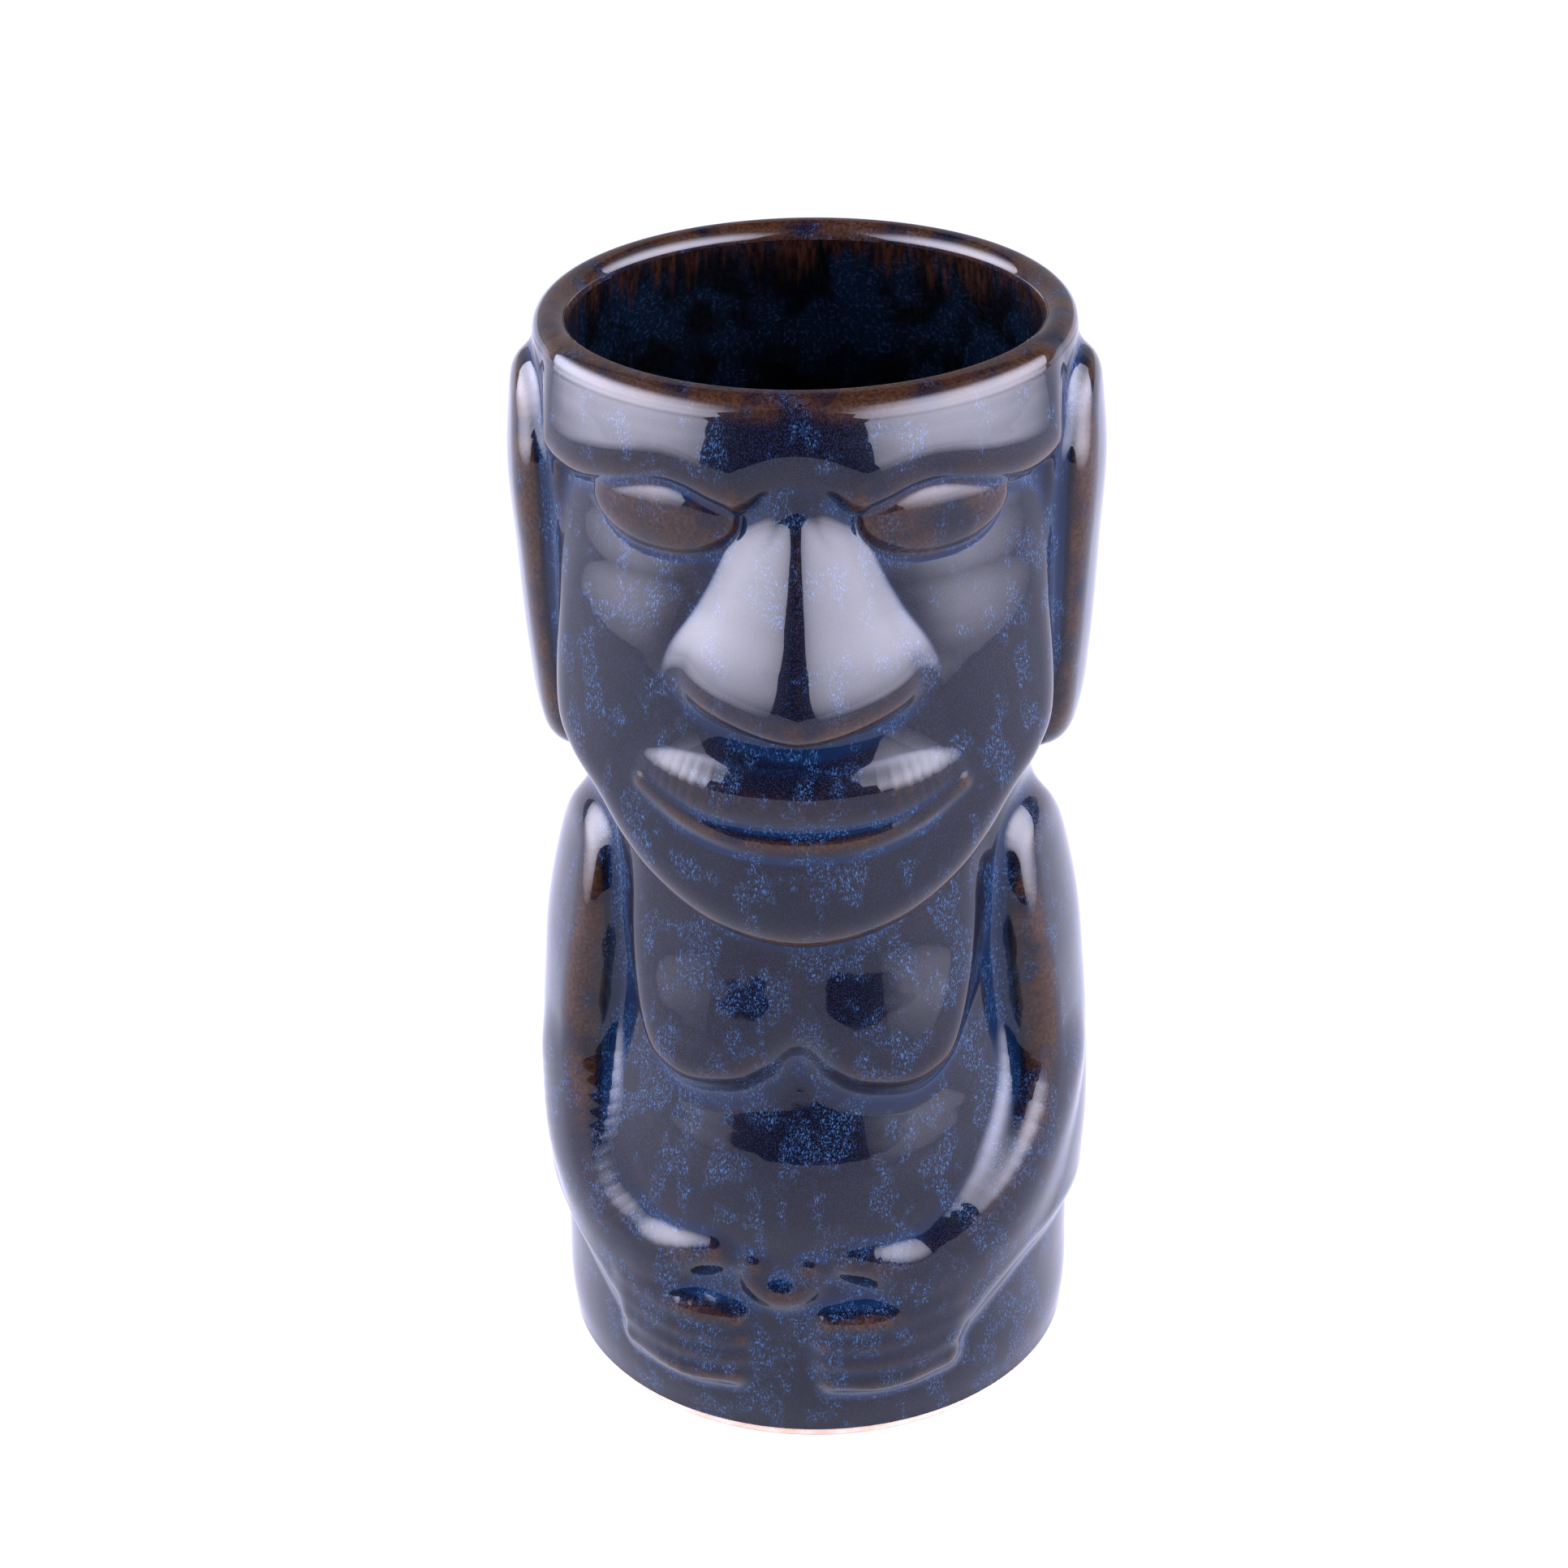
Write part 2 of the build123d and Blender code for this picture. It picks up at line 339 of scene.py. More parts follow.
EAR_FACE = by_height(
    (94, 34.5), (98.5, 36.0), (102, 37.4), (106, 38.4), (114, 39.3), (129, 40.2), (143, 40.8), (150, 40.2),
    (158, 39.2),
)


def face_radius(angle, z):
    """The cheeks with the chin pushed forward and a dip on each side of the nose."""
    beside = np.exp(-(((np.abs(angle) - HOLLOW_ANGLE) / HOLLOW_SPREAD) ** 2))
    hollow = HOLLOW_DEPTH * beside * ramp(z, 115, 133) * (1 - ramp(z, 136, 150))
    return CHEEK(angle, z) + CHIN_PUSH(angle, z) * np.exp(-((angle / CHIN_SPREAD) ** 2)) - hollow


def off_mouth(points, field):
    """Keeps a shape of the head out of the cup's mouth."""
    return np.maximum(field, LIP_MIDDLE - np.hypot(points[:, 0], points[:, 1]))


def face_field(points):
    """The raised face plate: slanted cheeks, muzzle and the heavy jaw that overhangs the chest."""
    field = plaque(points, FACE_OUTLINE, face_radius, 7)
    muzzle = ellipsoid(points, (0, -29.5, MOUTH + 2), (21, 12.6, 10))
    field = union(field, muzzle, 4)
    return off_mouth(points, np.maximum(field, points[:, 2] - BROW))


def recess_field(points):
    """What is missing from the cup between brow and cheeks, where the eyes sit."""
    angle, reach = polar(points)
    flat = read_map(RECESS_OUTLINE, np.abs(angle), points[:, 2])
    clear = RECESS_CLEAR * (1 - ramp(points[:, 2], 121, 136))
    return overlap(CHEEK(angle, points[:, 2]) + clear - reach, flat, 2.5)


def brow_field(points):
    """The forehead: a smooth band that leans out to a lower edge dipping beside the nose."""
    return off_mouth(points, plaque(points, BROW_OUTLINE, BROW_FACE, 7))


def eye_field(points, side):
    """A plain almond, higher at its outer corner."""
    parts = []
    for shift in (-3.0, 3.0):
        centre = around(side * 30.0, EYE - 0.8 + shift, 34.6)
        parts.append(ellipsoid(points, centre, (11.9, 4.3, 9.6), tilt=side * -2, turn=side * 30))
    return overlap(*parts, 1.6)


NOSE_WIDTH = by_height(
    (113, 18.2), (117, 18.0), (122, 17.5), (127, 16.0), (133, 12.2), (139, 9.4), (145, 7.4), (152, 6.6)
)
NOSE_RIDGE = by_height(
    (113, 48.3), (118, 48.1), (123, 47.3), (128, 45.6), (132, 44.0), (140, 40.9), (147, 38.2), (152, 36.8)
)
NOSE_TOP = 151


def nose_field(points):
    """A long nose that widens to two wings, flat underneath."""
    field = np.full(len(points), MARGIN)
    inside = near(points, np.array((-18, -48, 116)), np.array((18, -30, 150)))
    x, front, z = points[inside, 0], -points[inside, 1], points[inside, 2]
    width, ridge = NOSE_WIDTH(0, z), NOSE_RIDGE(0, z)
    base = np.sqrt(CHEEK(0, z) ** 2 - width**2) - 0.6
    share = np.abs(x) / width
    height = base + (ridge - base) * (1 - 0.78 * share**1.45 - 0.22 * share**7)
    front_face = (front - height) * 0.72
    underside = NOSE_UNDER + 3.6 * (x / 17) ** 2 - z
    body = overlap(front_face, underside, 5.5)
    body = overlap(body, z - NOSE_TOP, 3)
    field[inside] = np.minimum(body, MARGIN)
    return field


def lip_field(points, upper):
    """One lip, a bar that follows the muzzle and rises to its corners."""
    if upper:
        half = ((0, -38.3, MOUTH + 1.4, 5.5), (9.0, -37.0, MOUTH + 1.8, 5.5), (14.0, -35.0, MOUTH + 2.8, 5.1))
        half += ((17.6, -33.2, MOUTH + 3.6, 4.0),)
    else:
        half = ((0, -41.4, MOUTH - 4.6, 2.2), (8, -40.5, MOUTH - 4.0, 2.1), (15, -37.9, MOUTH - 1.8, 1.9))
        half += ((20.5, -34.6, MOUTH + 1.4, 1.5),)
    whole = list(half[:0:-1])
    whole = mirrored(whole, -1) + list(half)
    return tube(points, whole, steps=4)


def ear_field(points, side):
    """A long lobe down the side of the head."""
    return plaque(mirrored_points(points, side), EAR_OUTLINE, EAR_FACE, 5)


def mirrored_points(points, side):
    return points * (side, 1, 1)


# ---------------------------------------------------------------- the body
CHEST_TWIST = -1.8          # degrees that the chest and the hands are turned round the cup
ARM_TWIST = -6.0
CHEST_EDGE = (
    (0, 64.6), (5.8, 61.9), (11.6, 59.7), (18, 58.6), (25, 58.2), (31, 59.1), (37.6, 61.8), (43.8, 68.2),
    (48.5, 76), (50, 83), (48, 92), (30, 95), (0, 95),
)
CHEST_OUTLINE = outline_map(list(CHEST_EDGE) + mirrored(CHEST_EDGE[-2:0:-1], -1))
CHEST_FACE = by_height(
    (54, 40.6), (58, 40.1), (62, 39.3), (66, 38.3), (70, 37.2), (75, 35.7), (80, 34.1), (84, 32.9),
    (88, 31.9), (96, 31.2),
)
VALLEY_DEPTH = 0.9          # of the furrow between the breast plates
VALLEY_SPREAD = 5
ARM_OUTLINE = outline_map(
    (
        (62, 90), (57.5, 83), (56, 75), (57.5, 66), (58, 60), (55.5, 52), (51.5, 45.6), (46.5, 40.6),
        (40, 37), (33, 35), (27, 33), (23, 29), (21, 22), (22, 15), (27, 10.6), (35, 12.6), (43, 16.6),
        (50, 20.0), (60, 23.0), (74, 24), (90, 23.5), (103, 27), (111, 38), (113, 52), (110, 68), (103, 82),
        (90, 90.5), (74, 92.5),
    )
)
ARM_FACE = by_height(
    (6, 39.3), (12, 39.4), (20, 39.7), (28, 40.1), (37, 40.6), (45, 40.5), (54, 40.1), (62, 39.5),
    (70.5, 38.7), (78.5, 37.2), (82.5, 36.2), (86.5, 35.0), (91, 33.6), (96, 32.2),
)
HAND_OUTLINE = outline_map(
    (
        (36, 31.5), (29, 33.6), (21, 34.6), (14.5, 34.0), (12.0, 32.0), (13.5, 29.9), (17, 28.6),
        (18.5, 27.0), (17, 25.3), (13, 24.6), (9.4, 23), (7.4, 20.3), (7.1, 17), (7.4, 14),
        (9.6, 11.6), (14, 10.1), (20, 9.5), (27, 10.2), (35, 13), (40, 20), (40, 27),
    )
)
HAND_FACE = by_height((6, 39.6), (20, 39.6), (30, 39.2), (38, 38.8))


def arm_frame(points):
    """The arms lean round the body: the hands are turned, the shoulders are not."""
    return twisted(points, ARM_TWIST * (1 - ramp(points[:, 2], 36, 54)))


def chest_face(angle, z):
    valley = VALLEY_DEPTH * np.exp(-((angle / VALLEY_SPREAD) ** 2)) * (1 - ramp(z, 66, 82))
    return CHEST_FACE(angle, z) - valley


def chest_field(points):
    """Two broad breast plates that meet in a notch."""
    return plaque(twisted(points, CHEST_TWIST), CHEST_OUTLINE, chest_face, 8.5)


def arm_field(points, side):
    """The upper arm down the side and the forearm across the belly."""
    p = mirrored_points(arm_frame(points), side)
    field = plaque(p, ARM_OUTLINE, ARM_FACE, 5)
    ridge = (
        around(71, 50, 31.0, 9.0), around(61, 41.3, 30.6, 10.2), around(52, 35.3, 30.4, 10.6),
        around(45, 31.5, 30.0, 10.2), around(38, 28.4, 29.2, 9.4),
    )
    return union(field, tube(p, ridge, steps=4), 4)


def hand_field(points, side):
    """A hand laid on the belly with a thumb above and four fingers."""
    p = mirrored_points(arm_frame(points), side)
    field = plaque(p, HAND_OUTLINE, HAND_FACE, 6.5)
    thumb = (around(31, 28, 36.0, 3.3), around(22.5, 31.0, 36.8, 2.9), around(15, 32.4, 36.9, 2.3))
    field = union(field, tube(p, thumb), 3.0)
    for finger in range(4):
        tip, knuckle = 21.4 - 3.2 * finger, 23.2 - 3.5 * finger
        row = (
            around(36, knuckle, 37.2, 2.4), around(22, (tip + knuckle) / 2 - 0.3, 38.4, 2.4),
            around(10 + 0.6 * abs(finger - 1), tip, 37.5, 2.0),
        )
        field = union(field, tube(p, row), 1.3)
    return field


NAVEL_REACH = 37.2
NAVEL_ROLL = 1.75


def navel_field(points):
    """A small U-shaped roll round a hollow on the belly."""
    half = ((0, 26.3), (1.8, 26.7), (3.4, 28.2), (3.9, 30.6))
    whole = mirrored(half[:0:-1], -1) + list(half)
    roll = [(x, -math.sqrt(NAVEL_REACH**2 - x**2), z, NAVEL_ROLL) for x, z in whole]
    return tube(arm_frame(points), roll, steps=3)


# ---------------------------------------------------------------- the whole sculpture
def group_fields(points):
    """Each node's own field."""
    return {
        "nose": nose_field(points),
        "eye_left": eye_field(points, 1),
        "eye_right": eye_field(points, -1),
        "upper_lip": lip_field(points, True),
        "lower_lip": lip_field(points, False),
        "ear_left": ear_field(points, 1),
        "ear_right": ear_field(points, -1),
        "brow_band": brow_field(points),
        "face_mask": face_field(points),
        "navel": navel_field(points),
        "hand_left": hand_field(points, 1),
        "hand_right": hand_field(points, -1),
        "arm_left": arm_field(points, 1),
        "arm_right": arm_field(points, -1),
        "chest": chest_field(points),
        "cup_body": cup_field(points),
    }


BLENDS = {
    "ear_left": 1.6, "ear_right": 1.6, "chest": 4.5, "arm_left": 2.4, "arm_right": 2.4, "hand_left": 2.2,
    "hand_right": 2.2, "navel": 2.4, "brow_band": 2.0, "nose": 1.7, "upper_lip": 0.7, "lower_lip": 0.9,
    "eye_left": 0.8, "eye_right": 0.8,
}
FACE_BLEND = 3.0
RECESS_BLEND = 1.6
CUP_BIAS = 0.3          # gives the recess to the face and not to the cup


def sculpture(points):
    """The distance to the whole outside."""
    fields = group_fields(points)
    whole = union(fields["cup_body"], fields["face_mask"], FACE_BLEND)
    whole = carve(whole, recess_field(points), RECESS_BLEND)
    for name, blend in BLENDS.items():
        whole = union(whole, fields[name], blend)
    return whole


def owner_fields(points):
    """The fields that settle which node a place on the surface belongs to."""
    fields = group_fields(points)
    recess = recess_field(points)
    fields["face_mask"] = carve(fields["face_mask"], recess, RECESS_BLEND)
    fields["cup_body"] = carve(fields["cup_body"], recess, RECESS_BLEND) + CUP_BIAS
    return fields


def gradient(field, points, step=0.08):
    """The field's slope, from a small four-point stencil."""
    total = np.zeros_like(points)
    for corner in ((1, -1, -1), (-1, -1, 1), (-1, 1, -1), (1, 1, 1)):
        corner = np.array(corner, float)
        total += field(points + corner * step)[:, None] * corner
    return total / (4 * step)


# ---------------------------------------------------------------- the skin as a grid
def column_angles(count):
    """Angles round the cup from the back, closer together at the front."""
    even = np.linspace(-math.pi, math.pi, count, endpoint=False)
    return even - 0.42 * np.sin(even)


CAST_REACH = 50           # the rays start this far from the axis
CAST_LIP_REACH = 7        # and, over the lip, this far from its middle circle
CAST_ROUNDS = 90
CAST_CLOSE = 0.002


def cast_skin(columns, rows, lip_rows):
    """Grid of points on the sculpture, from the glaze's lower end up and over the lip."""
    angles = column_angles(columns)
    heights = np.linspace(GLAZE_END, LINER_TOP, rows)
    outwards = np.stack((np.sin(angles), -np.cos(angles), np.zeros(columns)), 1)
    start, course = [], []
    for z in heights:
        start.append(np.tile((0, 0, z), (columns, 1)) + outwards * CAST_REACH)
        course.append(-outwards)
    for turn in np.linspace(0, math.pi, lip_rows + 1)[1:]:
        ray = outwards * math.cos(turn) + np.array((0, 0, math.sin(turn)))
        heart = outwards * LIP_MIDDLE + np.array((0, 0, LINER_TOP))
        start.append(heart + ray * CAST_LIP_REACH)
        course.append(-ray)
    points, course = np.concatenate(start), np.concatenate(course)
    active = np.arange(len(points))
    for _ in range(CAST_ROUNDS):
        field = sculpture(points[active])
        points[active] += course[active] * np.maximum(field, -2)[:, None] * 0.9
        active = active[np.abs(field) > CAST_CLOSE]
        if not len(active):
            break
    return points.reshape(rows + lip_rows, columns, 3)


def relax(grid, rounds):
    """Evens out the grid along the surface and pulls it back on to the sculpture."""
    for _ in range(rounds):
        across = (np.roll(grid, 1, axis=1) + np.roll(grid, -1, axis=1)) / 2
        spread = grid.copy()
        spread[1:-1] = 0.4 * grid[1:-1] + 0.3 * across[1:-1] + 0.15 * (grid[:-2] + grid[2:])
        points = spread[1:-1].reshape(-1, 3)
        slope = gradient(sculpture, points)
        steep = np.maximum(np.linalg.norm(slope, axis=1), 0.25)
        step = np.clip(sculpture(points) / steep, -0.6, 0.6) / steep
        points = points - slope * step[:, None]
        grid[1:-1] = points.reshape(grid[1:-1].shape)
    return grid


# ---------------------------------------------------------------- from grid to pieces
def grid_triangles(rows, columns):
    """Triangles of a grid that closes on itself sideways, facing outwards."""
    first = np.arange(rows - 1)[:, None] * columns + np.arange(columns)[None]
    right = np.arange(rows - 1)[:, None] * columns + (np.arange(columns)[None] + 1) % columns
    above, across = first + columns, right + columns
    lower = np.stack((first, right, across), -1).reshape(-1, 3)
    upper = np.stack((first, across, above), -1).reshape(-1, 3)
    return np.concatenate((lower, upper))


CUT_CLEAR = 0.02          # vertices nearer than this to a cutting line count as inside it


def cut(values, triangles, level):
    """Divides the triangles along level = 0. values has a row per vertex, which new vertices interpolate."""
    level = np.where(np.abs(level) < CUT_CLEAR, CUT_CLEAR, level)
    inside = level > 0
    count = inside[triangles].sum(1)
    split = (count == 1) | (count == 2)
    crossing = triangles[split]
    lone_side = (count[split] == 1)[:, None]
    lone = np.argmax(inside[crossing] == lone_side, axis=1)
    turned = crossing[np.arange(len(crossing))[:, None], (lone[:, None] + np.arange(3)) % 3]
    edges = np.sort(np.concatenate((turned[:, [0, 1]], turned[:, [0, 2]])), axis=1)
    edges, which = np.unique(edges, axis=0, return_inverse=True)
    which = which.reshape(-1) + len(values)
    share = level[edges[:, 0]] / (level[edges[:, 0]] - level[edges[:, 1]])
    fresh = values[edges[:, 0]] + share[:, None] * (values[edges[:, 1]] - values[edges[:, 0]])
    a, b, c = turned.T
    ab, ac = which[: len(turned)], which[len(turned) :]
    parts = (np.stack((a, ab, ac), 1), np.stack((ab, b, c), 1), np.stack((ab, c, ac), 1))
    return np.concatenate((values, fresh)), np.concatenate((triangles[~split], *parts))


def border(triangles):
    """The directed edges that only one triangle has."""
    edges = np.concatenate((triangles[:, [0, 1]], triangles[:, [1, 2]], triangles[:, [2, 0]]))
    _, place, times = np.unique(np.sort(edges, axis=1), axis=0, return_index=True, return_counts=True)
    return edges[place[times == 1]]


def core_points(points):
    """Where a piece ends on the cup's body: under its skin, towards the axis or the middle of the lip."""
    reach = np.hypot(points[:, 0], points[:, 1])
    out = points[:, :2] / reach[:, None]
    z = points[:, 2]
    depth = np.minimum(reach, wall_radius(z)) - SKIN
    lip_reach, lip_rise = reach - LIP_MIDDLE, z - LINER_TOP
    kept = 1 - SKIN / np.maximum(np.hypot(lip_reach, lip_rise), SKIN)
    above = z > LINER_TOP
    depth = np.where(above, LIP_MIDDLE + np.minimum(lip_reach, LIP) * kept, depth)
    height = np.where(above, LINER_TOP + lip_rise * kept, z)
    return np.column_stack((out * depth[:, None], height))


def wall_between(rim, count):
    """Triangles from the rim's edges to the same edges count places further on."""
    a, b = rim.T
    return np.concatenate((np.stack((b, a, a + count), 1), np.stack((b, a + count, b + count), 1)))


def flat_corners(points, faces):
    """Each face's own normal at its three corners."""
    p, q, r = points[faces[:, 0]], points[faces[:, 1]], points[faces[:, 2]]
    flat = np.cross(q - p, r - p)
    flat /= np.maximum(np.linalg.norm(flat, axis=1, keepdims=True), 1e-9)
    return np.repeat(flat[:, None], 3, axis=1)


def new_mesh(name, points, faces, corners, marks=None):
    """A smooth mesh object from mm points, with a normal for each corner of each face."""
    used, faces = np.unique(faces, return_inverse=True)
    faces = faces.reshape(-1, 3)
    mesh = bpy.data.meshes.new(name)
    mesh.vertices.add(len(used))
    mesh.vertices.foreach_set("co", (points[used] * MM).astype(np.float32).ravel())
    mesh.loops.add(faces.size)
    mesh.loops.foreach_set("vertex_index", faces.astype(np.int32).ravel())
    mesh.polygons.add(len(faces))
    mesh.polygons.foreach_set("loop_start", np.arange(0, faces.size, 3, dtype=np.int32))
    mesh.update(calc_edges=True)
    mesh.polygons.foreach_set("use_smooth", np.ones(len(faces), bool))
    for mark, amounts in (marks or {}).items():
        layer = mesh.attributes.new(mark, "FLOAT", "POINT")
        layer.data.foreach_set("value", amounts[used].astype(np.float32))
    mesh.normals_split_custom_set(corners.reshape(-1, 3).tolist())
    piece = bpy.data.objects.new(name, mesh)
    bpy.context.scene.collection.objects.link(piece)
    return piece


def relief_piece(name, skin, faces):
    """A closed solid: its part of the skin, the same shape on the cup's core, and the wall between."""
    points, normals, count = skin[:, :3], skin[:, 3:6], len(skin)
    both = np.concatenate((points, core_points(points)))
    walls = wall_between(border(faces), count)
    corners = np.concatenate((normals[faces], -normals[faces[:, ::-1]], flat_corners(both, walls)))
    marks = {mark: np.tile(skin[:, 6 + i], 2) for i, mark in enumerate(MARKS)}
    return new_mesh(name, both, np.concatenate((faces, faces[:, ::-1] + count, walls)), corners, marks)


def turned_rows(profile, columns):
    """Rows of points round the axis for (radius, height) pairs."""
    angles = column_angles(columns)
    radius, height = np.array(profile, float).T
    x = radius[:, None] * np.sin(angles)
    y = -radius[:, None] * np.cos(angles)
    return np.stack((x, y, np.broadcast_to(height[:, None], x.shape)), -1)


def cavity_profile(gap, rows):
    """The inside wall from just under the lip to the floor's centre, moved outwards by gap."""
    heights = np.linspace(LINER_TOP, FLOOR + CORNER, rows)
    towards_lip = np.clip((heights - LINER_TOP + 10) / 10, 0, 1)
    excess = wall_radius(LINER_TOP) - WALL - (LIP_MIDDLE - LIP)
    wall = wall_radius(heights) - WALL - excess * towards_lip + gap
    heart = wall[-1] - gap - CORNER
    profile = list(zip(wall, heights))
    for turn in np.linspace(0, math.pi / 2, 9)[1:]:
        reach = CORNER + gap
        profile.append((heart + reach * math.cos(turn), FLOOR + CORNER - reach * math.sin(turn)))
    profile += [(heart * share, FLOOR - gap) for share in (0.75, 0.5, 0.25, 0.001)]
    return profile


def profile_normals(profile, columns):
    """Normals of turned rows, facing the side that grid_triangles faces."""
    radius, height = np.array(profile, float).T
    along = np.stack((np.gradient(radius), np.gradient(height)), 1)
    along /= np.linalg.norm(along, axis=1, keepdims=True)
    angles = column_angles(columns)
    out = np.broadcast_to(along[:, 1:], (len(profile), columns))
    up = np.broadcast_to(-along[:, :1], out.shape)
    return np.stack((out * np.sin(angles), -out * np.cos(angles), up), -1)


# ---------------------------------------------------------------- building the pieces
HUB = 0.03                # radius of the smallest ring, which stands for the centre of a disc
COLUMNS, ROWS, LIP_ROWS, ROUNDS = (560, 430, 22, 10) if FINE else (260, 200, 12, 4)
LINER_ROWS = 90 if FINE else 40
MARKS = ("ridge", "swell", "worn")


def smoothed(grid, rounds):
    for _ in range(rounds):
        ends = np.concatenate((grid[:1], grid, grid[-1:]))
        across = np.roll(grid, 1, axis=1) + np.roll(grid, -1, axis=1)
        grid = (2 * grid + across + ends[:-2] + ends[2:]) / 6
    return grid


def sculpt_skin():
    """The outside as values per vertex: place, normal, marks and each group's field."""
    grid = relax(cast_skin(COLUMNS, ROWS, LIP_ROWS), ROUNDS)
    rows, columns = grid.shape[:2]
    points = grid.reshape(-1, 3)
    normals = gradient(sculpture, points)
    normals /= np.linalg.norm(normals, axis=1, keepdims=True)
    finer = (COLUMNS / 560) ** 2
    ridge = ((points - smoothed(grid, round(14 * finer)).reshape(-1, 3)) * normals).sum(1)
    swell = ((points - smoothed(grid, round(160 * finer)).reshape(-1, 3)) * normals).sum(1)
    fields = owner_fields(points)
    names = list(fields)
    worn = 1 - ramp(np.minimum(fields["eye_left"], fields["eye_right"]), -0.3, 0.7)
    columns_of_fields = np.stack(list(fields.values()), 1)
    marks = np.stack((ridge, swell, worn), 1)
    values = np.concatenate((points, normals, marks, columns_of_fields), 1)
    return values, grid_triangles(rows, columns), names, (rows, columns)


def divide(values, triangles, names):
    """Cuts the skin where two groups' fields are equal, and names each triangle's group."""
    first = 6 + len(MARKS)
    for i in range(len(names)):
        fields = values[:, first:]
        level = np.delete(fields, i, axis=1).min(1) - fields[:, i]
        values, triangles = cut(values, triangles, level)
    owner = values[:, first:][triangles].mean(1).argmin(1)
    return values, triangles, {name: triangles[owner == i] for i, name in enumerate(names)}


def cup_piece(skin, groups, size):
    """The cup: its own skin, the seats of the relief pieces, the cavity wall and the underside."""
    rows, columns = size
    count = len(skin)
    reliefs = np.concatenate([faces for name, faces in groups.items() if name != "cup_body"])
    cavity = turned_rows(cavity_profile(LINER, LINER_ROWS), columns).reshape(-1, 3)
    under_rows = [(HUB, GLAZE_END), (18.0, GLAZE_END), (36.0, GLAZE_END)]
    under = turned_rows(under_rows, columns).reshape(-1, 3)
    points = np.concatenate((skin[:, :3], core_points(skin[:, :3]), cavity, under))
    lip_edge = (rows - 1) * columns + np.arange(columns)
    inside = 2 * count + np.arange(len(cavity))
    below = 2 * count + len(cavity) + np.arange(len(under))
    bottom_edge = np.arange(columns)
    lining = np.concatenate((lip_edge, inside))[grid_triangles(len(cavity) // columns + 1, columns)]
    base = np.concatenate((below, bottom_edge))[grid_triangles(4, columns)]
    own = groups["cup_body"]
    seats = reliefs + count
    steps = wall_between(border(reliefs), count)[:, ::-1]
    hidden = np.concatenate((seats, steps, lining, base))
    corners = np.concatenate((skin[:, 3:6][own], flat_corners(points, hidden)))
    marks = {}
    for i, mark in enumerate(MARKS):
        shade = skin[:, 6 + i]
        marks[mark] = np.concatenate((shade, shade, np.zeros(len(cavity) + len(under))))
    return new_mesh("cup", points, np.concatenate((own, hidden)), corners, marks)


def turned_solid(name, front, back, columns):
    """A closed turned solid between a shown profile and a hidden one that runs back to its start."""
    profile = list(front) + list(back)
    rows = turned_rows(profile + profile[:1], columns)
    faces = grid_triangles(len(profile) + 1, columns)
    total = len(profile) * columns
    faces = np.where(faces >= total, faces - total, faces)
    points = rows[:-1].reshape(-1, 3)
    shown = np.all(faces < len(front) * columns, axis=1)
    smooth = profile_normals(front, columns).reshape(-1, 3)
    corners = flat_corners(points, faces)
    corners[shown] = smooth[faces[shown]]
    return new_mesh(name, points, faces, corners)


def own(piece, node, slot):
    """The piece rides with the cup and stands for that node."""
    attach(piece, "root")
    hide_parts(node)
    return piece


values, triangles, group_names, grid_size = sculpt_skin()
values, triangles, groups = divide(values, triangles, group_names)
skin = values[:, : 6 + len(MARKS)]

glazed = [own(cup_piece(skin, groups, grid_size), "cup_body", "outer_glaze")]
for node in group_names[:-1]:
    glazed.append(own(relief_piece(node + "_relief", skin, groups[node]), node, "outer_glaze"))
liner = turned_solid(
    "cavity_glaze", cavity_profile(0, LINER_ROWS), cavity_profile(LINER, LINER_ROWS)[::-1], grid_size[1]
)
own(liner, "liner_glaze", "liner_glaze")
foot_front = [
    (FOOT_RADIUS - 0.9, 0), (FOOT_RADIUS - 0.35, 0.18), (FOOT_RADIUS, 0.7), (FOOT_RADIUS, GLAZE_END)
]
foot_back = [(FOOT_RADIUS * 0.5, GLAZE_END), (HUB, GLAZE_END), (HUB, 0), (FOOT_RADIUS * 0.5, 0)]
foot = own(turned_solid("foot", foot_front, foot_back, grid_size[1]), "bare_foot", "bare_clay")


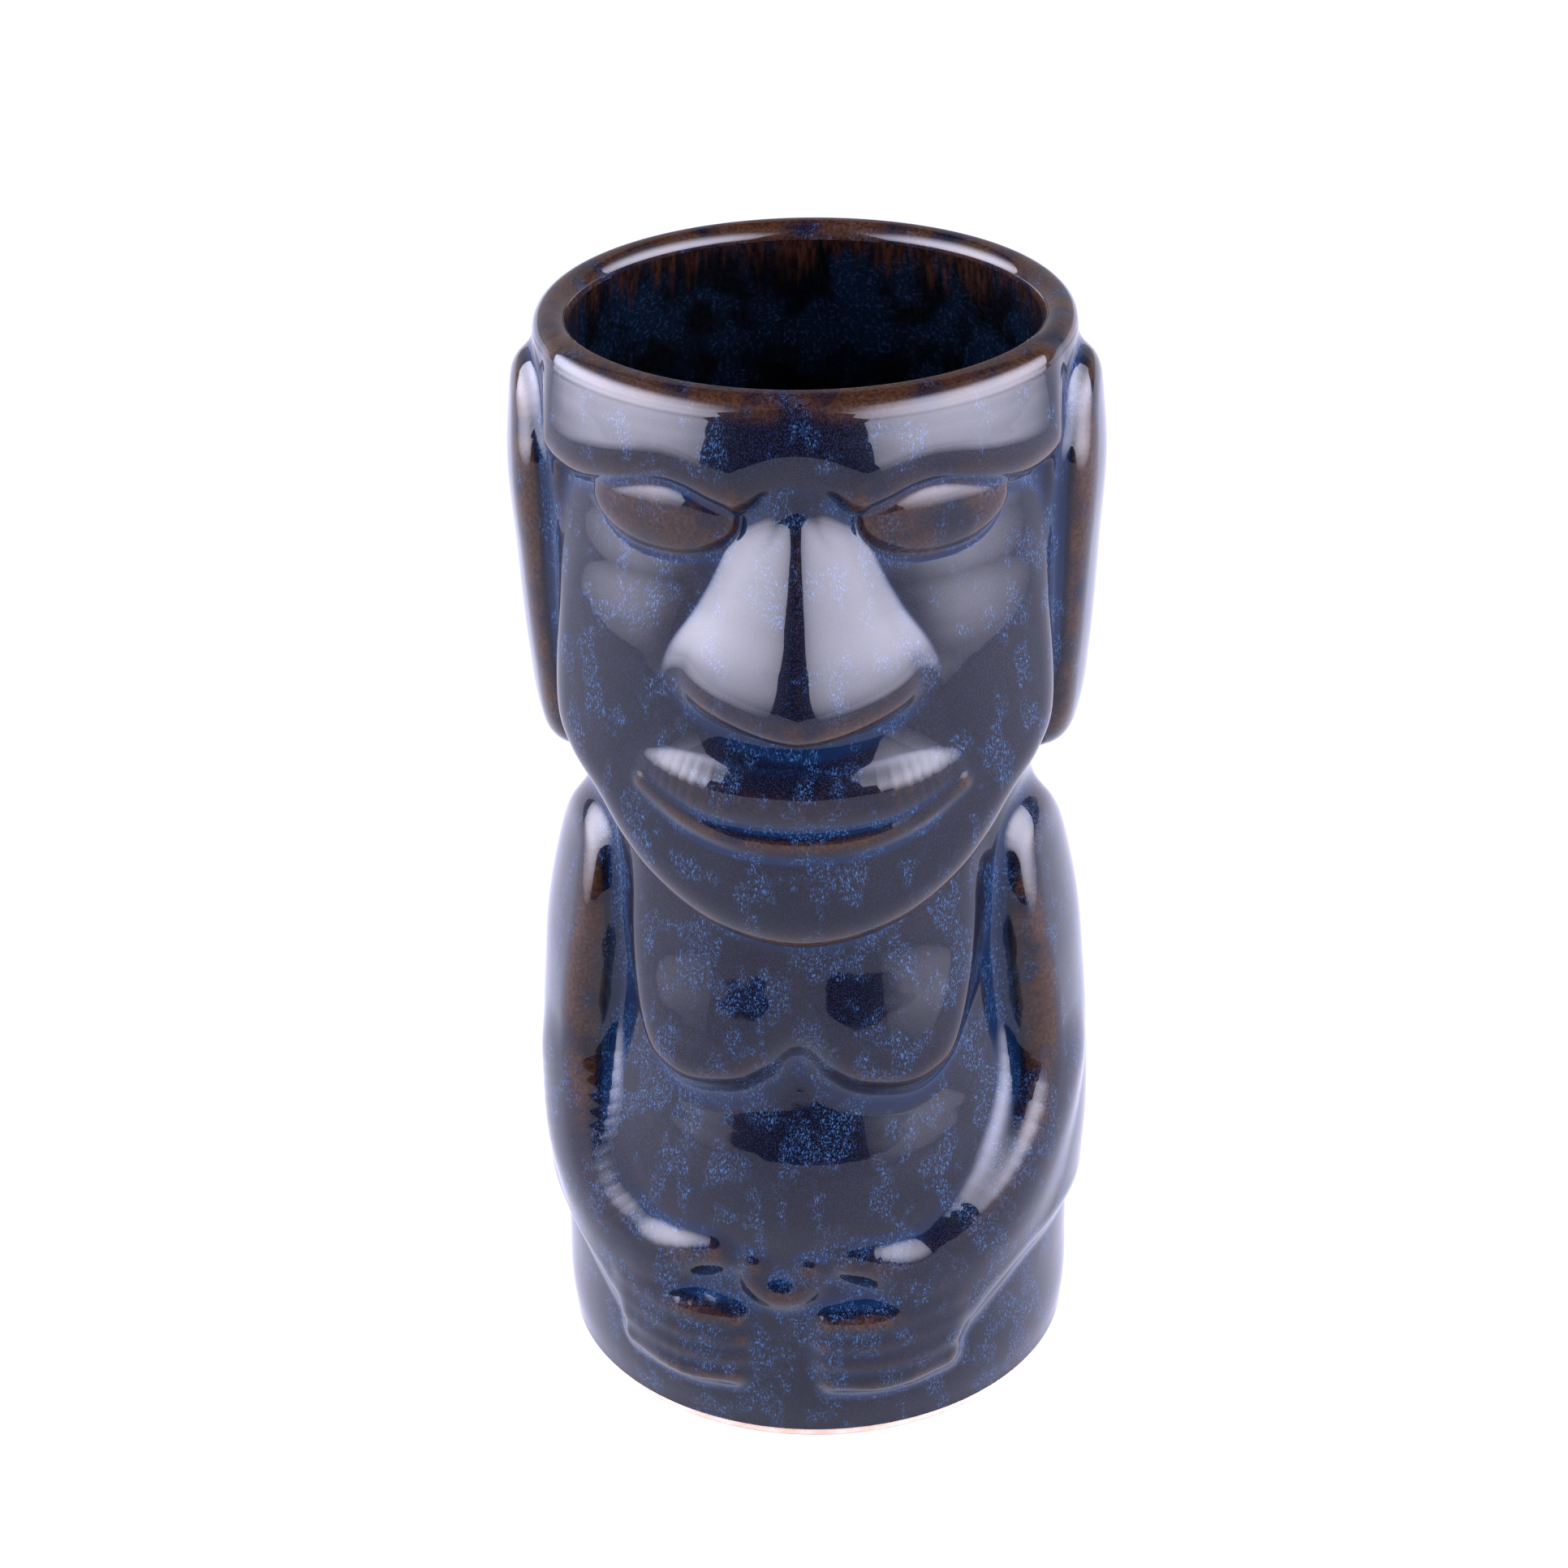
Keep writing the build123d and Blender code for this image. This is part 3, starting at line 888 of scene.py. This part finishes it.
# ---------------------------------------------------------------- materials
class Shade:
    """A material's node tree with short ways to add nodes and wire them."""

    def __init__(self, name):
        self.material = bpy.data.materials.new(name)
        self.material.use_nodes = True
        self.tree = self.material.node_tree
        self.shader = self.tree.nodes["Principled BSDF"]
        where = self.add("ShaderNodeTexCoord")
        scale = self.add("ShaderNodeMapping")
        scale.inputs["Scale"].default_value = (1 / MM, 1 / MM, 1 / MM)
        self.link(where.outputs["Object"], scale.inputs["Vector"])
        self.place = scale.outputs["Vector"]          # in mm

    def add(self, kind, **settings):
        node = self.tree.nodes.new(kind)
        for name, value in settings.items():
            setattr(node, name, value)
        return node

    def link(self, source, target):
        self.tree.links.new(source, target)

    def put(self, value, target):
        if isinstance(value, bpy.types.NodeSocket):
            self.link(value, target)
        else:
            target.default_value = value

    def math(self, operation, *values):
        node = self.add("ShaderNodeMath", operation=operation)
        for value, target in zip(values, node.inputs):
            self.put(value, target)
        return node.outputs[0]

    def ramp(self, value, low, high, start=0.0, end=1.0):
        """start where the value is under low, end where it is over high, smooth between."""
        node = self.add("ShaderNodeMapRange", interpolation_type="SMOOTHSTEP")
        names = ("Value", "From Min", "From Max", "To Min", "To Max")
        for name, number in zip(names, (value, low, high, start, end)):
            self.put(number, node.inputs[name])
        return node.outputs[0]

    def stretched(self, across, up, twist=0.0):
        node = self.add("ShaderNodeMapping")
        node.inputs["Scale"].default_value = (across, across, up)
        node.inputs["Rotation"].default_value = (twist, twist, 0)
        self.link(self.place, node.inputs["Vector"])
        return node.outputs["Vector"]

    def noise(self, size, detail=2.0, roughness=0.5, place=None, distortion=0.0):
        """Noise with blobs of about that size in mm."""
        node = self.add("ShaderNodeTexNoise")
        self.link(place or self.place, node.inputs["Vector"])
        node.inputs["Scale"].default_value = 1 / size
        node.inputs["Detail"].default_value = detail
        node.inputs["Roughness"].default_value = roughness
        node.inputs["Distortion"].default_value = distortion
        return node.outputs["Fac"]

    def mix(self, share, a, b):
        node = self.add("ShaderNodeMix", data_type="RGBA")
        for value, index in ((share, 0), (a, 6), (b, 7)):
            if isinstance(value, tuple):
                value = (*value, 1)
            self.put(value, node.inputs[index])
        return node.outputs[2]

    def bump(self, height, distance, strength=1.0, under=None):
        node = self.add("ShaderNodeBump")
        self.link(height, node.inputs["Height"])
        node.inputs["Distance"].default_value = distance * MM
        node.inputs["Strength"].default_value = strength
        if under:
            self.link(under, node.inputs["Normal"])
        return node.outputs["Normal"]

    def mark(self, name):
        return self.add("ShaderNodeAttribute", attribute_name=name).outputs["Fac"]

    def height(self):
        split = self.add("ShaderNodeSeparateXYZ")
        self.link(self.place, split.inputs[0])
        return split.outputs["Z"]


def finish_glaze(shade, colour, roughness, grain):
    """The glassy top of both glazes: a sharp clear coat over a satin, crystalline body."""
    shader = shade.shader
    shade.link(colour, shader.inputs["Base Color"])
    shade.link(roughness, shader.inputs["Roughness"])
    shader.inputs["Specular IOR Level"].default_value = 0.06
    shader.inputs["Coat Weight"].default_value = 1.0
    shader.inputs["Coat Roughness"].default_value = 0.035
    shader.inputs["Coat IOR"].default_value = 1.43
    waves = shade.noise(5.0, 1.0)
    peel = shade.bump(waves, 0.05, 0.6)
    shade.link(peel, shader.inputs["Coat Normal"])
    shade.link(shade.bump(grain, 0.03, 0.5, peel), shader.inputs["Normal"])


NIGHT, VIOLET = (0.0005, 0.0009, 0.0036), (0.0017, 0.0010, 0.0020)
GRAIN_BLUE, POOL_BLUE, FIBRE_BLUE = (0.0070, 0.0125, 0.042), (0.0012, 0.0085, 0.030), (0.030, 0.088, 0.20)
DARK_BROWN, TAWNY = (0.015, 0.0060, 0.0024), (0.040, 0.0165, 0.0055)


def outer_glaze():
    """Dark blue reactive glaze: brown where it is thin, deep blue where it pools, full of pale fibres."""
    s = Shade("reactive_blue_glaze")
    ridge, swell, z = s.mark("ridge"), s.mark("swell"), s.height()
    cloud = s.noise(9.0, 3.0, 0.6)
    patch = s.noise(4.2, 2.0, 0.55, s.stretched(1.0, 0.7))
    grain = s.noise(0.22, 2.0, 0.7)
    fleck = s.noise(0.5, 2.0, 0.6)
    streak = s.noise(0.19, 2.0, 0.65, s.stretched(1.0, 0.34), 0.15)

    colour = s.mix(s.ramp(cloud, 0.35, 0.68), NIGHT, VIOLET)
    sparkle = s.math("MULTIPLY", s.ramp(grain, 0.44, 0.68), s.ramp(cloud, 0.25, 0.7, 0.35, 0.8))
    colour = s.mix(s.math("MULTIPLY", sparkle, 0.8), colour, GRAIN_BLUE)
    pool = s.math("MAXIMUM", s.ramp(ridge, -0.01, -0.09), s.ramp(swell, -0.25, -0.9))
    colour = s.mix(s.math("MULTIPLY", pool, 0.85), colour, POOL_BLUE)
    lower = s.ramp(z, CHIN + 22, CHIN - 24, 0.0, 0.05)
    pooled = s.math("MULTIPLY", pool, 0.10)
    clump = s.ramp(s.math("ADD", patch, s.math("ADD", lower, pooled)), 0.52, 0.64)
    fibre = s.math("MULTIPLY", s.ramp(streak, 0.47, 0.70), s.ramp(fleck, 0.36, 0.60))
    fibre = s.math("MULTIPLY", fibre, clump)
    colour = s.mix(s.math("MULTIPLY", fibre, 0.9), colour, FIBRE_BLUE)

    thin = s.math("ADD", s.ramp(ridge, 0.03, 0.14), s.ramp(swell, 0.6, 1.8, 0.0, 0.4))
    lip = s.ramp(z, LINER_TOP - 1.5, LINER_TOP + 1.2)
    thin = s.math("MAXIMUM", thin, s.math("MAXIMUM", lip, s.mark("worn")))
    broken = s.ramp(s.noise(6.0, 2.0, 0.5), 0.30, 0.60)
    bare = s.math("MINIMUM", s.math("MULTIPLY", thin, broken), 1.0)
    brown = s.mix(s.ramp(fleck, 0.3, 0.7), DARK_BROWN, TAWNY)
    colour = s.mix(s.math("MULTIPLY", bare, 0.85), colour, brown)
    roughness = s.ramp(s.math("ADD", grain, s.math("MULTIPLY", fibre, 0.3)), 0.3, 0.9, 0.28, 0.55)
    finish_glaze(s, colour, roughness, grain)
    return s.material


COAL, INK, SPECK_BLUE = (0.0003, 0.0005, 0.0011), (0.0009, 0.003, 0.008), (0.005, 0.017, 0.040)
DARK_RUST, RUST = (0.004, 0.0013, 0.0008), (0.016, 0.0055, 0.003)


def cavity_glaze():
    """Rust brown at the rim, running in drips into near black with deep blue specks."""
    s = Shade("dark_liner_glaze")
    z = s.height()
    drips = s.noise(2.2, 3.0, 0.6, s.stretched(1.0, 0.10))
    edge = s.math("ADD", z, s.math("MULTIPLY", drips, 22.0))
    rim = s.ramp(edge, LINER_TOP + 6, LINER_TOP + 13)
    speck = s.noise(0.6, 3.0, 0.65)
    cloud = s.noise(7.0, 2.0)
    colour = s.mix(s.ramp(cloud, 0.4, 0.65), COAL, INK)
    blue = s.math("MULTIPLY", s.ramp(speck, 0.52, 0.68), s.ramp(cloud, 0.40, 0.60))
    colour = s.mix(s.math("MULTIPLY", blue, 0.5), colour, SPECK_BLUE)
    mottle = s.noise(0.8, 3.0, 0.6, s.stretched(1.0, 0.3))
    rust = s.mix(s.ramp(mottle, 0.38, 0.62), DARK_RUST, RUST)
    colour = s.mix(rim, colour, rust)
    finish_glaze(s, colour, s.ramp(speck, 0.3, 0.7, 0.25, 0.5), speck)
    return s.material


PINK_CLAY, CREAM_CLAY, GRIT_BROWN = (0.62, 0.42, 0.30), (0.72, 0.56, 0.44), (0.35, 0.22, 0.15)


def bare_clay():
    """Unglazed cream clay with a faint pink tone."""
    s = Shade("bare_cream_clay")
    cloud, grit = s.noise(3.0, 3.0, 0.6), s.noise(0.3, 3.0, 0.7)
    colour = s.mix(s.ramp(cloud, 0.35, 0.65), PINK_CLAY, CREAM_CLAY)
    colour = s.mix(s.math("MULTIPLY", s.ramp(grit, 0.55, 0.75), 0.5), colour, GRIT_BROWN)
    s.link(colour, s.shader.inputs["Base Color"])
    s.link(s.ramp(grit, 0.3, 0.7, 0.75, 0.95), s.shader.inputs["Roughness"])
    s.link(s.bump(grit, 0.08), s.shader.inputs["Normal"])
    return s.material


def paint(pieces, look):
    for piece in pieces:
        piece.data.materials.clear()
        piece.data.materials.append(look)


paint(glazed, outer_glaze())
paint([liner], cavity_glaze())
paint([foot], bare_clay())


# ---------------------------------------------------------------- floor, light and camera
FLOOR_SIZE = 40
FLOOR_GLOW = 0.98                      # the table is lit from below, like a frosted sheet over lamps
FLOOR_GREY, FLOOR_GREY_LIGHT = (0.022, 0.022, 0.022), (0.026, 0.026, 0.026)
GLOW_COOL, GLOW_WHITE = (0.98, 0.98, 1.30), (1.0, 1.0, 1.30)

bpy.ops.mesh.primitive_plane_add(size=FLOOR_SIZE)
floor = bpy.context.object
floor.name = "floor"
table = Shade("white_table")
dust = table.noise(40.0, 2.0)
table.link(table.mix(dust, FLOOR_GREY, FLOOR_GREY_LIGHT), table.shader.inputs["Base Color"])
table.link(table.mix(dust, GLOW_COOL, GLOW_WHITE), table.shader.inputs["Emission Color"])
table.shader.inputs["Emission Strength"].default_value = FLOOR_GLOW
table.link(table.ramp(dust, 0.3, 0.7, 0.7, 0.8), table.shader.inputs["Roughness"])
table.shader.inputs["Specular IOR Level"].default_value = 0.1
floor.data.materials.append(table.material)

# The room is bright behind the mug and dark behind the camera.
ROOM_TINT = (0.98, 0.94, 1.08, 1)
world = bpy.data.worlds.new("studio")
bpy.context.scene.world = world
world.use_nodes = True
nodes, links = world.node_tree.nodes, world.node_tree.links
direction = nodes.new("ShaderNodeTexCoord")
split = nodes.new("ShaderNodeSeparateXYZ")
links.new(direction.outputs["Generated"], split.inputs[0])
backwards = nodes.new("ShaderNodeMapRange")
backwards.interpolation_type = "SMOOTHSTEP"
for name, number in (("From Min", 0.60), ("From Max", 0.72), ("To Min", 0.010), ("To Max", 0.40)):
    backwards.inputs[name].default_value = number
links.new(split.outputs["Y"], backwards.inputs["Value"])
links.new(backwards.outputs[0], nodes["Background"].inputs["Strength"])
nodes["Background"].inputs["Color"].default_value = ROOM_TINT

TARGET = Vector((0, 0, 0.08))          # the softboxes point here, half way up the mug
LIGHT_TINT = (0.94, 0.92, 1.14)
BOX_RISE = 33                          # degrees over the table
BOX_DISTANCE = 0.75
BOX_HEIGHT = 1.2
GLOW_SHAPE = (0.55, 1.0, 0.0)          # a softbox is brightest in an oval spot a little under its middle
GLOW_CENTRE = (0.275, 0.40, 0)


def softbox(name, angle, width, power):
    """A rectangular area light that fades to its edges, at an angle off the front in degrees."""
    light = bpy.data.lights.new(name, "AREA")
    light.shape = "RECTANGLE"
    light.size, light.size_y = width, BOX_HEIGHT
    light.energy = power
    light.color = LIGHT_TINT
    light.use_nodes = True
    nodes, links = light.node_tree.nodes, light.node_tree.links
    across = nodes.new("ShaderNodeNewGeometry")
    squeezed = nodes.new("ShaderNodeVectorMath")
    squeezed.operation = "MULTIPLY"
    squeezed.inputs[1].default_value = GLOW_SHAPE
    off_centre = nodes.new("ShaderNodeVectorMath")
    off_centre.operation = "DISTANCE"
    off_centre.inputs[1].default_value = GLOW_CENTRE
    links.new(across.outputs["Parametric"], squeezed.inputs[0])
    links.new(squeezed.outputs["Vector"], off_centre.inputs[0])
    fade = nodes.new("ShaderNodeMapRange")
    fade.interpolation_type = "SMOOTHSTEP"
    for name, number in (("From Min", 0.02), ("From Max", 0.45), ("To Min", 1.0), ("To Max", 0.02)):
        fade.inputs[name].default_value = number
    links.new(off_centre.outputs["Value"], fade.inputs["Value"])
    links.new(fade.outputs[0], nodes["Emission"].inputs["Strength"])
    lamp = bpy.data.objects.new(name, light)
    bpy.context.scene.collection.objects.link(lamp)
    rise = math.radians(BOX_RISE)
    out = Vector(around(angle, BOX_DISTANCE * math.sin(rise), BOX_DISTANCE * math.cos(rise)))
    lamp.location = TARGET + out
    lamp.rotation_euler = (-out).to_track_quat("-Z", "Y").to_euler()


softbox("box_left", angle=-80, width=1.40, power=84)
softbox("box_right", angle=70, width=1.45, power=80)
bpy.context.scene.view_settings.view_transform = "Standard"

CAMERA_DISTANCE = 0.4321     # level distance from the cup's axis
CAMERA_HEIGHT = 0.3172
CAMERA_SIDE = 0.00395        # how far the axis stands to the right of the view's middle
CAMERA_TURN = 2.5            # degrees round from the front, towards +X
CAMERA_PITCH = 27.857
CAMERA_ROLL = 1.05
LENS = 78.04

turn = math.radians(CAMERA_TURN)
level_right = Vector((math.cos(turn), math.sin(turn), 0))
level_ahead = Vector((-math.sin(turn), math.cos(turn), 0))
camera_data = bpy.data.cameras.new("camera")
camera_data.lens = LENS
camera_data.sensor_width = 36
camera = bpy.data.objects.new("camera", camera_data)
bpy.context.scene.collection.objects.link(camera)
camera.location = Vector((0, 0, CAMERA_HEIGHT)) - level_ahead * CAMERA_DISTANCE - level_right * CAMERA_SIDE
facing = Matrix.Rotation(turn, 4, "Z") @ Matrix.Rotation(math.radians(90 - CAMERA_PITCH), 4, "X")
camera.rotation_euler = (facing @ Matrix.Rotation(math.radians(-CAMERA_ROLL), 4, "Z")).to_euler()
bpy.context.scene.camera = camera
